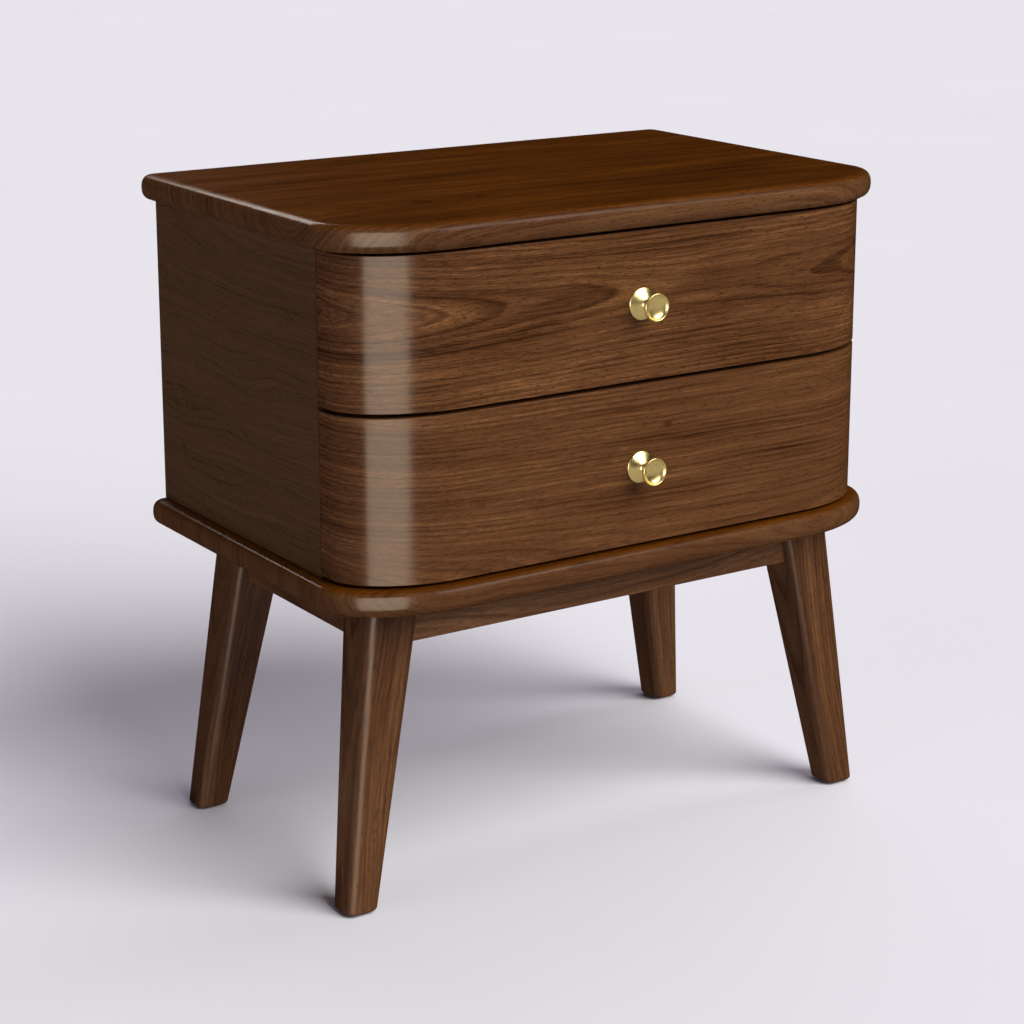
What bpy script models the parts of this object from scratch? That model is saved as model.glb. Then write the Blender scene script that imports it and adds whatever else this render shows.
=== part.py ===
"""Nightstand with two drawers, on four splayed legs.

Units are metres, +Z is up and the drawers open towards -Y. The origin lies on the floor, in the
middle of the whole piece, knobs included. Every physical piece is one object. The drawers and
the middle members of their slides hang on empties that stand where their slide joints are.
"""

import math

import bmesh
import bpy
from mathutils import Matrix, Vector

# Air left between pieces that touch on the real object
GAP = 0.0003

# Overall size
HEIGHT = 0.625
BOARD_WIDTH = 0.610
BODY_DEPTH = 0.387
SIDE_OVERHANG = 0.015
FRONT_OVERHANG = 0.008
REAR_OVERHANG = 0.009
KNOB_PROJECTION = 0.023

# Boards with half-round edges, one on top and one under the drawers
BOARD_THICKNESS = 0.0245
LOWER_BOARD_TOP = 0.3055
REAR_CORNER_RADIUS = 0.0145

# Front corners of the body in plan: a quarter of an ellipse
CORNER_ACROSS = 0.097
CORNER_DEEP = 0.0625

# Drawer fronts: one bent panel each, which ends on the side panel
FRONT_THICKNESS = 0.018
FRONT_RETURN = 0.0755
RETURN_GAP = 0.0008
UPPER_FRONT = (0.4614, 0.5984)
LOWER_FRONT = (0.3084, 0.4577)

# Carcass
PANEL_THICKNESS = 0.018
BACK_THICKNESS = 0.008
BACK_RECESS = 0.003
RAIL_DEPTH = 0.060
RAIL_SETBACK = 0.003
MIDDLE_RAIL_BOTTOM = 0.4505

# Drawer boxes, inside the bend of their fronts
WALL = 0.012
BOX_FRONT_SETBACK = 0.0400
BOX_LENGTH = 0.315
UPPER_BOX = (0.4740, 0.5740)
LOWER_BOX = (0.3200, 0.4400)
BOTTOM_THICKNESS = 0.006
BOTTOM_RAISED = 0.008
GROOVE_DEPTH = 0.005
BATTEN_WIDTH = 0.400
BATTEN_HEIGHT = 0.070
UPPER_KNOB_HEIGHT = 0.5320
LOWER_KNOB_HEIGHT = 0.3810

# Telescopic slides: three channels of folded steel, one in the next
SLIDE_SPACE = 0.0127
SLIDE_LENGTH = 0.270
SLIDE_START = 0.080
SLIDE_HEIGHTS = (0.0450, 0.0412, 0.0374)
SLIDE_DEPTHS = (0.0105, 0.0062, 0.0052)
MIDDLE_WEB_OFFSET = 0.0046
SHEET = 0.0012

# Legs: tapered square bars that lean outwards, with round edges
LEG_TOP_SIZE = 0.053
LEG_FOOT_SIZE = 0.0325
LEG_EDGE_RADIUS = 0.009
LEG_TOP_INSET = (0.0560, 0.0677)
LEG_FOOT_INSET = (0.0105, 0.0436)
LEG_PAIR_DEPTH = 0.380
GLIDE_HEIGHT = 0.002
GLIDE_RADIUS = 0.010

# Aprons between the legs, with a corner block and a hanger bolt at each leg
APRON_THICKNESS = 0.018
APRON_BOTTOM = 0.240
APRON_SETBACK = 0.050
SIDE_APRON_SETBACK = 0.038
BLOCK_THICKNESS = 0.020
BLOCK_HEIGHT = 0.030
BOLT_RADIUS = 0.003
BOLT_IN_LEG = 0.028
BOLT_HEIGHT = 0.264
WASHER_RADIUS = 0.008
WASHER_THICKNESS = 0.0015
NUT_RADIUS = 0.0058
NUT_THICKNESS = 0.005
BOLT_END = 0.004

# Knob screw
SCREW_RADIUS = 0.002
SCREW_HEAD_RADIUS = 0.004
SCREW_HEAD_HEIGHT = 0.0024
SCREW_IN_KNOB = 0.012

# Steps in round shapes
CORNER_STEPS = 12
SMALL_CORNER_STEPS = 5
NOSE_STEPS = 5
TURN_STEPS = 32
SHANK_SIDES = 12

# Worked out from the sizes above
BODY_HALF = BOARD_WIDTH / 2 - SIDE_OVERHANG
DEPTH = KNOB_PROJECTION + BODY_DEPTH + REAR_OVERHANG
FRONT_Y = KNOB_PROJECTION - DEPTH / 2
REAR_Y = FRONT_Y + BODY_DEPTH
UPPER_BOARD_BOTTOM = HEIGHT - BOARD_THICKNESS
LOWER_BOARD_BOTTOM = LOWER_BOARD_TOP - BOARD_THICKNESS
PANEL_INNER = BODY_HALF - PANEL_THICKNESS
BOX_HALF = PANEL_INNER - SLIDE_SPACE
BOX_Y = FRONT_Y + BOX_FRONT_SETBACK
BOX_REAR_Y = BOX_Y + BOX_LENGTH
BATTEN_Y = (FRONT_Y + FRONT_THICKNESS + GAP, BOX_Y - GAP)
LEGS_MIDDLE_Y = FRONT_Y + LEG_PAIR_DEPTH / 2


def clear_scene():
    """Start from an empty scene."""
    for item in list(bpy.data.objects):
        bpy.data.objects.remove(item, do_unlink=True)


def finish(name, colour, roughness, metallic=0.0):
    """A plain finish with the colour, gloss and metallic value of one material."""
    material = bpy.data.materials.new(name)
    material.use_nodes = True
    shader = material.node_tree.nodes["Principled BSDF"]
    shader.inputs["Base Color"].default_value = (*colour, 1.0)
    shader.inputs["Roughness"].default_value = roughness
    shader.inputs["Metallic"].default_value = metallic
    return material


def add_piece(name, mesh_data, material, place=(0, 0, 0), parent=None, smooth=False):
    """Turn a bmesh into a named object at a place, with its own copy of a finish."""
    bmesh.ops.recalc_face_normals(mesh_data, faces=mesh_data.faces)
    mesh = bpy.data.meshes.new(name)
    mesh_data.to_mesh(mesh)
    mesh_data.free()
    own_finish = material.copy()
    own_finish.name = name + "_finish"
    mesh.materials.append(own_finish)
    if smooth:
        mesh.shade_smooth()
        mesh.set_sharp_from_angle(angle=math.radians(35))
    piece = bpy.data.objects.new(name, mesh)
    bpy.context.collection.objects.link(piece)
    piece.location = Vector(place)
    if parent is not None:
        piece.parent = parent
        piece.location -= parent.location
    return piece


def add_joint_empty(name, place):
    """An empty on a joint's axis, which carries the pieces that move with it."""
    empty = bpy.data.objects.new(name, None)
    bpy.context.collection.objects.link(empty)
    empty.location = place
    return empty


def box_mesh(size):
    """A box around the origin."""
    shape = bmesh.new()
    bmesh.ops.create_cube(shape, size=1.0, matrix=Matrix.Diagonal((*size, 1.0)))
    return shape


def add_box(name, lower, upper, material, parent=None):
    """A plain board between two corners."""
    lower = Vector(lower)
    upper = Vector(upper)
    return add_piece(name, box_mesh(upper - lower), material, (lower + upper) / 2, parent)


def prism_mesh(outline, height):
    """A plan outline, extruded straight up from z = 0."""
    shape = bmesh.new()
    corners = [shape.verts.new((x, y, 0.0)) for x, y in outline]
    face = shape.faces.new(corners)
    extruded = bmesh.ops.extrude_face_region(shape, geom=[face])["geom"]
    raised = [item for item in extruded if isinstance(item, bmesh.types.BMVert)]
    bmesh.ops.translate(shape, verts=raised, vec=(0, 0, height))
    return shape


def loft_mesh(rings):
    """Bridge rings of equal length and cap both ends."""
    shape = bmesh.new()
    loops = [[shape.verts.new(point) for point in ring] for ring in rings]
    count = len(loops[0])
    for ring, following in zip(loops, loops[1:]):
        for index in range(count):
            after = (index + 1) % count
            shape.faces.new((ring[index], ring[after], following[after], following[index]))
    shape.faces.new(reversed(loops[0]))
    shape.faces.new(loops[-1])
    return shape


def turned_mesh(profile, sides):
    """Spin (radius, distance) points round the Y axis; the profile starts and ends on the axis."""
    shape = bmesh.new()
    points = [shape.verts.new((radius, along, 0.0)) for radius, along in profile]
    edges = [shape.edges.new(pair) for pair in zip(points, points[1:])]
    bmesh.ops.spin(
        shape,
        geom=points + edges,
        axis=(0, 1, 0),
        cent=(0, 0, 0),
        steps=sides,
        angle=math.tau,
        use_duplicate=False,
    )
    bmesh.ops.remove_doubles(shape, verts=shape.verts, dist=0.00001)
    return shape


def cut(piece, cutter_name, cutter_mesh, place, rotation=None):
    """Take a shape out of a piece with a Boolean and keep the cutter as a hidden guide."""
    bmesh.ops.recalc_face_normals(cutter_mesh, faces=cutter_mesh.faces)
    mesh = bpy.data.meshes.new(cutter_name)
    cutter_mesh.to_mesh(mesh)
    cutter_mesh.free()
    cutter = bpy.data.objects.new(cutter_name, mesh)
    bpy.context.collection.objects.link(cutter)
    cutter.location = place
    if rotation is not None:
        cutter.rotation_euler = rotation
    cutter.hide_render = True
    cutter.display_type = "WIRE"
    modifier = piece.modifiers.new("cut_" + cutter_name, "BOOLEAN")
    modifier.operation = "DIFFERENCE"
    modifier.solver = "EXACT"
    modifier.object = cutter


def arc(centre, across, deep, start, end, steps):
    """Points along part of an ellipse in plan, angles in degrees."""
    points = []
    for step in range(steps + 1):
        turn = math.radians(start + (end - start) * step / steps)
        points.append((centre[0] + across * math.cos(turn), centre[1] + deep * math.sin(turn)))
    return points


def front_corner(side, grow_across, grow_deep):
    """One round front corner of the body, grown outwards; side is -1 for left, 1 for right."""
    centre = (side * (BODY_HALF - CORNER_ACROSS), FRONT_Y + CORNER_DEEP)
    start, end = (180, 270) if side < 0 else (270, 360)
    across = CORNER_ACROSS + grow_across
    deep = CORNER_DEEP + grow_deep
    return arc(centre, across, deep, start, end, CORNER_STEPS)


def board_outline():
    """Plan outline of the two boards, the same for both."""
    rear = REAR_Y + REAR_OVERHANG - REAR_CORNER_RADIUS
    side = BOARD_WIDTH / 2 - REAR_CORNER_RADIUS
    radius = REAR_CORNER_RADIUS
    outline = front_corner(-1, SIDE_OVERHANG, FRONT_OVERHANG)
    outline += front_corner(1, SIDE_OVERHANG, FRONT_OVERHANG)
    outline += arc((side, rear), radius, radius, 0, 90, SMALL_CORNER_STEPS)
    outline += arc((-side, rear), radius, radius, 90, 180, SMALL_CORNER_STEPS)
    return outline


def add_board(name, bottom, material):
    """A board whose edge is rounded over its whole thickness."""
    shape = prism_mesh(board_outline(), BOARD_THICKNESS)
    board = add_piece(name, shape, material, (0, 0, bottom), smooth=True)
    nose = board.modifiers.new("nose", "BEVEL")
    nose.width = BOARD_THICKNESS / 2 - 0.0001
    nose.segments = NOSE_STEPS
    nose.limit_method = "ANGLE"
    nose.angle_limit = math.radians(60)


def add_carcass(wood, inner_wood):
    """Boards, side panels, back panel and rails."""
    add_board("top_board", UPPER_BOARD_BOTTOM, wood)
    add_board("bottom_board", LOWER_BOARD_BOTTOM, wood)
    low = LOWER_BOARD_TOP + GAP
    high = UPPER_BOARD_BOTTOM - GAP
    panel_front = FRONT_Y + FRONT_RETURN + RETURN_GAP
    for side_name, side in (("left", -1), ("right", 1)):
        edges = sorted((side * PANEL_INNER, side * BODY_HALF))
        lower = (edges[0], panel_front, low)
        add_box("side_panel_" + side_name, lower, (edges[1], REAR_Y, high), wood)
    inner = PANEL_INNER - GAP
    back_y = REAR_Y - BACK_RECESS
    add_box("back_panel", (-inner, back_y - BACK_THICKNESS, low), (inner, back_y, high), inner_wood)
    rail_front = panel_front + RAIL_SETBACK
    rear_rail_end = back_y - BACK_THICKNESS - GAP
    rails = (
        ("top_front_rail", rail_front, high - PANEL_THICKNESS),
        ("top_rear_rail", rear_rail_end - RAIL_DEPTH, high - PANEL_THICKNESS),
        ("middle_rail", rail_front, MIDDLE_RAIL_BOTTOM),
    )
    for name, start, bottom in rails:
        lower = (-inner, start, bottom)
        upper = (inner, start + RAIL_DEPTH, bottom + PANEL_THICKNESS)
        add_box(name, lower, upper, inner_wood)


def leg_centre(height, side, end):
    """Middle of a leg at a height; side is -1 left or 1 right, end is -1 front or 1 rear."""
    share = height / LOWER_BOARD_BOTTOM
    across = LEG_FOOT_INSET[0] + (LEG_TOP_INSET[0] - LEG_FOOT_INSET[0]) * share
    deep = LEG_FOOT_INSET[1] + (LEG_TOP_INSET[1] - LEG_FOOT_INSET[1]) * share
    return side * (BODY_HALF - across), LEGS_MIDDLE_Y + end * (LEG_PAIR_DEPTH / 2 - deep)


def leg_size(height):
    """Width of a leg at a height."""
    return LEG_FOOT_SIZE + (LEG_TOP_SIZE - LEG_FOOT_SIZE) * height / LOWER_BOARD_BOTTOM


def leg_ring(height, side, end):
    """Square with round corners: the section of a leg at a height."""
    middle = leg_centre(height, side, end)
    radius = LEG_EDGE_RADIUS
    reach = leg_size(height) / 2 - radius
    ring = []
    for across, deep, start in ((1, 1, 0), (-1, 1, 90), (-1, -1, 180), (1, -1, 270)):
        centre = (middle[0] + across * reach, middle[1] + deep * reach)
        ring += arc(centre, radius, radius, start, start + 90, SMALL_CORNER_STEPS)
    return [(x, y, height) for x, y in ring]


def bolt_mesh():
    """Hanger bolt with its washer and nut, along +X from its tip inside the leg."""
    tip_to_block = BOLT_IN_LEG + GAP
    nut_start = tip_to_block + BLOCK_THICKNESS + GAP
    washer = nut_start + WASHER_THICKNESS
    nut = washer + NUT_THICKNESS
    end = nut + BOLT_END
    sections = (
        (0.0, BOLT_RADIUS, False),
        (nut_start, BOLT_RADIUS, False),
        (nut_start, WASHER_RADIUS, False),
        (washer, WASHER_RADIUS, False),
        (washer, NUT_RADIUS, True),
        (nut, NUT_RADIUS, True),
        (nut, BOLT_RADIUS, False),
        (end, BOLT_RADIUS, False),
    )
    rings = []
    for along, radius, is_hexagon in sections:
        ring = []
        for index in range(SHANK_SIDES):
            turn = math.tau * index / SHANK_SIDES
            flat = math.cos(math.pi / 6) if is_hexagon and index % 2 else 1.0
            y = radius * flat * math.cos(turn)
            z = radius * flat * math.sin(turn)
            ring.append((along, y, z))
        rings.append(ring)
    return loft_mesh(rings)


def hole_mesh(radius, length):
    """A round cutter along +X, from the origin."""
    rings = []
    for along in (0.0, length):
        turns = [math.tau * index / SHANK_SIDES for index in range(SHANK_SIDES)]
        rings.append([(along, radius * math.cos(t), radius * math.sin(t)) for t in turns])
    return loft_mesh(rings)


def block_reach(side, end):
    """How far past the aprons' inner corner the face of a corner block must stay."""
    centre = leg_centre(LOWER_BOARD_BOTTOM, side, end)
    half = LEG_TOP_SIZE / 2
    rounding = LEG_EDGE_RADIUS * (2 - math.sqrt(2))
    across = abs(centre[0] - side * half) - (BODY_HALF - SIDE_APRON_SETBACK - APRON_THICKNESS)
    deep_inner = LEG_PAIR_DEPTH / 2 - APRON_SETBACK - APRON_THICKNESS
    deep = abs(centre[1] - end * half - LEGS_MIDDLE_Y) - deep_inner
    return -(across + deep) - rounding + 2 * GAP


def add_corner(corner_name, side, end, wood, inner_wood, steel, nylon):
    """Leg, glide, corner block and hanger bolt at one corner."""
    top = LOWER_BOARD_BOTTOM - GAP
    foot = GLIDE_HEIGHT + GAP
    leg_shape = loft_mesh([leg_ring(foot, side, end), leg_ring(top, side, end)])
    leg = add_piece("leg_" + corner_name, leg_shape, wood, smooth=True)

    centre = leg_centre(foot, side, end)
    glide_shape = bmesh.new()
    bmesh.ops.create_cone(
        glide_shape,
        cap_ends=True,
        segments=24,
        radius1=GLIDE_RADIUS,
        radius2=GLIDE_RADIUS,
        depth=GLIDE_HEIGHT,
    )
    glide_place = (centre[0], centre[1], GLIDE_HEIGHT / 2)
    add_piece("foot_glide_" + corner_name, glide_shape, nylon, glide_place, smooth=True)

    # The block spans the inner corner of two aprons, square to the diagonal of the leg
    corner_x = side * (BODY_HALF - SIDE_APRON_SETBACK - APRON_THICKNESS - GAP)
    corner_y = LEGS_MIDDLE_Y + end * (LEG_PAIR_DEPTH / 2 - APRON_SETBACK - APRON_THICKNESS - GAP)
    near = block_reach(side, end)
    far = near + BLOCK_THICKNESS * math.sqrt(2)
    outline = [
        (corner_x - side * near, corner_y),
        (corner_x - side * far, corner_y),
        (corner_x, corner_y - end * far),
        (corner_x, corner_y - end * near),
    ]
    block_shape = prism_mesh(outline, BLOCK_HEIGHT)
    block_place = (0, 0, LOWER_BOARD_BOTTOM - GAP - BLOCK_HEIGHT)
    block = add_piece("corner_block_" + corner_name, block_shape, inner_wood, block_place)

    # The bolt crosses the middle of the block and runs straight into the leg
    mid_x = corner_x - side * near / 2
    mid_y = corner_y - end * near / 2
    inward = Vector((-side, -end, 0)).normalized()
    tip = Vector((mid_x, mid_y, BOLT_HEIGHT)) - inward * (BOLT_IN_LEG + GAP)
    turn = math.atan2(inward.y, inward.x)
    bolt = add_piece("hanger_bolt_" + corner_name, bolt_mesh(), steel, tip, smooth=True)
    bolt.rotation_euler = (0, 0, turn)
    hole_start = tip - inward * GAP
    length = BOLT_IN_LEG + BLOCK_THICKNESS * 2
    for piece, piece_name in ((leg, "leg"), (block, "block")):
        hole = hole_mesh(BOLT_RADIUS + GAP, length)
        cut(piece, f"hole_{piece_name}_{corner_name}", hole, hole_start, (0, 0, turn))


def add_aprons(wood):
    """Four boards between the legs, their ends cut to the lean of the legs."""
    top = LOWER_BOARD_BOTTOM - GAP
    heights = (APRON_BOTTOM, top)
    for name, end in (("front", -1), ("rear", 1)):
        outer = LEGS_MIDDLE_Y + end * (LEG_PAIR_DEPTH / 2 - APRON_SETBACK)
        inner = outer - end * APRON_THICKNESS
        rings = []
        for height in heights:
            reach = leg_centre(height, 1, end)[0] - leg_size(height) / 2 - GAP
            rings.append([(-reach, y, height) for y in (outer, inner)])
            rings[-1] += [(reach, y, height) for y in (inner, outer)]
        add_piece("apron_" + name, loft_mesh(rings), wood)
    for name, side in (("left", -1), ("right", 1)):
        outer = side * (BODY_HALF - SIDE_APRON_SETBACK)
        inner = outer - side * APRON_THICKNESS
        rings = []
        for height in heights:
            half = leg_size(height) / 2 + GAP
            start = leg_centre(height, side, -1)[1] + half
            stop = leg_centre(height, side, 1)[1] - half
            rings.append([(outer, start, height), (inner, start, height)])
            rings[-1] += [(inner, stop, height), (outer, stop, height)]
        add_piece("apron_" + name, loft_mesh(rings), wood)


def channel_mesh(height, depth):
    """A folded steel channel that opens towards +X, with its web on x = 0."""
    half = height / 2
    outline = [
        (0, -half),
        (depth, -half),
        (depth, SHEET - half),
        (SHEET, SHEET - half),
        (SHEET, half - SHEET),
        (depth, half - SHEET),
        (depth, half),
        (0, half),
    ]
    rings = []
    for along in (0.0, SLIDE_LENGTH):
        rings.append([(x, along, z) for x, z in outline])
    return loft_mesh(rings)


def add_slides(level, height, drawer, middle, steel):
    """The three channels on each side of a drawer, nested into the space beside its box."""
    start = FRONT_Y + SLIDE_START
    members = (
        ("cabinet", PANEL_INNER - GAP, -1, None),
        ("middle", PANEL_INNER - GAP - MIDDLE_WEB_OFFSET, -1, middle),
        ("drawer", BOX_HALF + GAP, 1, drawer),
    )
    for side_name, side in (("left", -1), ("right", 1)):
        for index, (member, web, opens, parent) in enumerate(members):
            shape = channel_mesh(SLIDE_HEIGHTS[index], SLIDE_DEPTHS[index])
            bmesh.ops.scale(shape, vec=(side * opens, 1, 1), verts=shape.verts)
            name = f"{level}_slide_{member}_{side_name}"
            add_piece(name, shape, steel, (side * web, start, height), parent)


def front_outline():
    """Plan outline of a drawer front: the outer curve, then the inner curve back."""
    end = FRONT_Y + FRONT_RETURN
    inner = -FRONT_THICKNESS
    outline = [(-BODY_HALF, end)]
    outline += front_corner(-1, 0, 0)
    outline += front_corner(1, 0, 0)
    outline += [(BODY_HALF, end), (BODY_HALF + inner, end)]
    outline += reversed(front_corner(1, inner, inner))
    outline += reversed(front_corner(-1, inner, inner))
    outline.append((-BODY_HALF - inner, end))
    return outline


def knob_profile():
    """Half section of the knob, radius and distance from the drawer front, in metres."""
    bore = SCREW_RADIUS + GAP
    bore_end = SCREW_IN_KNOB + 2 * GAP
    base = [(0.0146, GAP), (0.0150, 0.0008), (0.0148, 0.0015)]
    neck = [(0.0056, 0.0096), (0.0047, 0.0108), (0.0046, 0.0128), (0.0056, 0.0142)]
    head = [(0.0118, 0.0190), (0.0128, 0.0204), (0.0130, 0.0217), (0.0125, KNOB_PROJECTION)]
    dish = [(0.0116, 0.0226), (0.0108, 0.0212), (0.0080, 0.0198), (0.0040, 0.0190)]
    bored = [(0.0, bore_end), (bore, bore_end), (bore, GAP)]
    return bored + base + neck + head + dish + [(0.0, 0.0188)]


def screw_profile():
    """Half section of the knob screw, radius and distance behind the drawer front."""
    seat = BOX_FRONT_SETBACK + WALL + GAP
    head = seat + SCREW_HEAD_HEIGHT
    shank = [(0.0, -SCREW_IN_KNOB), (SCREW_RADIUS, -SCREW_IN_KNOB), (SCREW_RADIUS, seat)]
    return shank + [(SCREW_HEAD_RADIUS, seat), (SCREW_HEAD_RADIUS, head), (0.0, head)]


def add_box_walls(name, box, parent, wood):
    """Four walls and the bottom panel of a drawer box, the bottom held in grooves."""
    low, high = box
    inner = BOX_HALF - WALL
    walls = {}
    for side_name, side in (("left", -1), ("right", 1)):
        edges = sorted((side * inner, side * BOX_HALF))
        lower = (edges[0], BOX_Y, low)
        upper = (edges[1], BOX_REAR_Y, high)
        walls[side_name] = add_box(f"{name}_box_{side_name}", lower, upper, wood, parent)
    inside = inner - GAP
    for end_name, start in (("front", BOX_Y), ("back", BOX_REAR_Y - WALL)):
        lower = (-inside, start, low)
        upper = (inside, start + WALL, high)
        walls[end_name] = add_box(f"{name}_box_{end_name}", lower, upper, wood, parent)
    tray = inner + GROOVE_DEPTH
    ends = (BOX_Y + WALL - GROOVE_DEPTH, BOX_REAR_Y - WALL + GROOVE_DEPTH)
    floor = low + BOTTOM_RAISED
    size = Vector((2 * tray, ends[1] - ends[0], BOTTOM_THICKNESS))
    place = Vector((0, (ends[0] + ends[1]) / 2, floor + BOTTOM_THICKNESS / 2))
    for wall_name, wall in walls.items():
        grown = box_mesh(size + Vector((2 * GAP, 2 * GAP, 2 * GAP)))
        cut(wall, f"groove_{name}_{wall_name}", grown, place)
    add_piece(f"{name}_box_bottom", box_mesh(size), wood, place, parent)
    return walls["front"]


def add_drawer(level, front, box, knob_height, finishes):
    """One drawer with its front, box, knob and slides; level is upper or lower."""
    wood, inner_wood, brass, steel = finishes
    name = level + "_drawer"
    drawer = add_joint_empty(name, (0, FRONT_Y, knob_height))
    slide_height = (box[0] + box[1]) / 2
    middle = add_joint_empty(level + "_slide_middle", (0, FRONT_Y + SLIDE_START, slide_height))
    front_shape = prism_mesh(front_outline(), front[1] - front[0])
    front_place = (0, 0, front[0])
    front_piece = add_piece(name + "_front", front_shape, wood, front_place, drawer, smooth=True)
    half = BATTEN_WIDTH / 2
    lower = (-half, BATTEN_Y[0], knob_height - BATTEN_HEIGHT / 2)
    upper = (half, BATTEN_Y[1], knob_height + BATTEN_HEIGHT / 2)
    batten = add_box(name + "_batten", lower, upper, inner_wood, drawer)
    box_front = add_box_walls(name, box, drawer, inner_wood)
    hole_place = (0, FRONT_Y - PANEL_THICKNESS, knob_height)
    hole_length = BOX_FRONT_SETBACK + WALL + 2 * PANEL_THICKNESS
    for piece in (front_piece, batten, box_front):
        hole = hole_mesh(SCREW_RADIUS + GAP, hole_length)
        cut(piece, "hole_" + piece.name, hole, hole_place, (0, 0, math.pi / 2))
    knob_place = (0, FRONT_Y, knob_height)
    knob_shape = turned_mesh([(r, -along) for r, along in knob_profile()], TURN_STEPS)
    add_piece(name + "_knob", knob_shape, brass, knob_place, drawer, smooth=True)
    screw_shape = turned_mesh(screw_profile(), SHANK_SIDES)
    add_piece(name + "_knob_screw", screw_shape, steel, knob_place, drawer, smooth=True)
    add_slides(level, slide_height, drawer, middle, steel)


def main():
    clear_scene()
    walnut = finish("walnut", (0.125, 0.055, 0.024), 0.38)
    birch = finish("inner_birch", (0.52, 0.38, 0.24), 0.55)
    brass = finish("satin_brass", (0.80, 0.62, 0.32), 0.25, 1.0)
    steel = finish("zinc_steel", (0.55, 0.56, 0.58), 0.35, 1.0)
    nylon = finish("nylon", (0.05, 0.05, 0.05), 0.6)

    add_carcass(walnut, birch)
    add_aprons(walnut)
    for end_name, end in (("front", -1), ("rear", 1)):
        for side_name, side in (("left", -1), ("right", 1)):
            corner_name = f"{end_name}_{side_name}"
            add_corner(corner_name, side, end, walnut, birch, steel, nylon)
    finishes = (walnut, birch, brass, steel)
    add_drawer("upper", UPPER_FRONT, UPPER_BOX, UPPER_KNOB_HEIGHT, finishes)
    add_drawer("lower", LOWER_FRONT, LOWER_BOX, LOWER_KNOB_HEIGHT, finishes)


main()
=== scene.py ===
"""Nightstand with two drawers: the finished look of each piece, laid out as an add-on.

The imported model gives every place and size. Each operator models one piece or one group of like
pieces, gives them their finish and hangs them on the body that they move with. Units are metres,
+Z is up and the drawers open towards -Y.
"""

import math

import bmesh
import bpy
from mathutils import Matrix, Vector


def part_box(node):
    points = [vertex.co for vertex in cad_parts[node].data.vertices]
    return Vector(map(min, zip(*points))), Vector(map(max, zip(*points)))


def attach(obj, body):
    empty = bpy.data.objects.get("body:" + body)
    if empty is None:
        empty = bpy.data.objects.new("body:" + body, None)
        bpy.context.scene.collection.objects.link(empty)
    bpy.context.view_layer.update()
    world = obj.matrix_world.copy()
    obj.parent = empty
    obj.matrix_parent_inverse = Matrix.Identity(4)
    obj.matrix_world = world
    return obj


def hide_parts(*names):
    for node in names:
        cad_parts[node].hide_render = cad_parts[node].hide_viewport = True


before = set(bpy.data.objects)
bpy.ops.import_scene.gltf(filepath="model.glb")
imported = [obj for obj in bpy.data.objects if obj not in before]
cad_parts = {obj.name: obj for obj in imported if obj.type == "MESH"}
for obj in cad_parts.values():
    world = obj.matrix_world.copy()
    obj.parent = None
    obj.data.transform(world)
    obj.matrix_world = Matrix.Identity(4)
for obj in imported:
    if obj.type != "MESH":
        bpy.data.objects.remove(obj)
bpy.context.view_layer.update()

bl_info = {
    "name": "Two-drawer nightstand",
    "version": (1, 0, 0),
    "blender": (4, 5, 0),
    "location": "3D View > Sidebar > Nightstand",
    "description": "Builds the pieces and finishes of a walnut nightstand with two drawers",
    "category": "Add Mesh",
}

SIDES = (("left", -1), ("right", 1))
CORNERS = (
    ("front_left", -1, -1),
    ("front_right", 1, -1),
    ("rear_left", -1, 1),
    ("rear_right", 1, 1),
)
LEVELS = ("upper", "lower")

# The body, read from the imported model
TOP_LOW, TOP_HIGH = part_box("top_board")
FRONT_LOW, FRONT_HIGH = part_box("upper_drawer_front")
BODY_HALF = FRONT_HIGH.x
FRONT_Y = FRONT_LOW.y


# Tones of the walnut from its darkest pores to its lightest streaks, as sRGB
FRONT_TONES = ("331c0b", "51311a", "644023", "885c35")
# The board tops are painted darker and redder than the wood itself: painted shade on their flat faces. EDGE_TONES is
# the plain, lighter tone of the wood over their rounded edges
TOP_TONES_WITH_PAINTED_SHADE = ("391b02", "512904", "5f3206", "7e430b")
SIDE_TONES = ("3a2616", "4f3823", "5c412a", "725335")
EDGE_TONES = ("452914", "54341e", "604024", "704c2e")

# How each board lies in its log. heart is where the heart of the log is across the board, and
# depth how far it lies under the face at the place called middle; towards the ends it comes
# closer by fall. tilt leans the heart, sway and wave bend the rings, size scales the bands.
CUTS = {
    "top_board": {"shift": (0.35, 0.0, 0.0), "heart": -0.09, "depth": 0.05, "middle": 0.15, "fall": 0.10,
                  "contrast": 1.0, "size": 0.85, "colours": TOP_TONES_WITH_PAINTED_SHADE, "edge": EDGE_TONES, "gloss": 0.23, "relief": 0.04},
    "bottom_board": {"shift": (1.35, 0.0, 0.0), "heart": -0.30, "depth": 0.06, "middle": -0.15,
                     "contrast": 0.8, "size": 0.85, "colours": TOP_TONES_WITH_PAINTED_SHADE, "edge": EDGE_TONES,
                     "relief": 0.04},
    "upper_drawer_front": {"heart": 0.545, "depth": 0.034, "middle": 0.06, "fall": 0.16, "sway": 0.008,
                           "wave": 0.003},
    "lower_drawer_front": {"shift": (2.0, 0.0, 0.0), "heart": 0.30, "depth": 0.05, "middle": 0.1,
                           "fall": 0.16, "sway": 0.010, "contrast": 0.8},
    "side_panel_left": {"shift": (4.0, 0.0, 0.0), "heart": 0.52, "depth": 0.012, "fall": 0.02,
                        "sway": 0.05, "wave": 0.008, "contrast": 0.55, "size": 0.8, "colours": SIDE_TONES},
    "side_panel_right": {"shift": (5.0, 0.0, 0.0), "heart": 0.40, "depth": 0.02, "fall": 0.02,
                         "sway": 0.04, "wave": 0.006, "contrast": 0.6, "size": 0.8, "colours": SIDE_TONES},
}

# ---------------------------------------------------------------- sizes and colours


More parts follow.
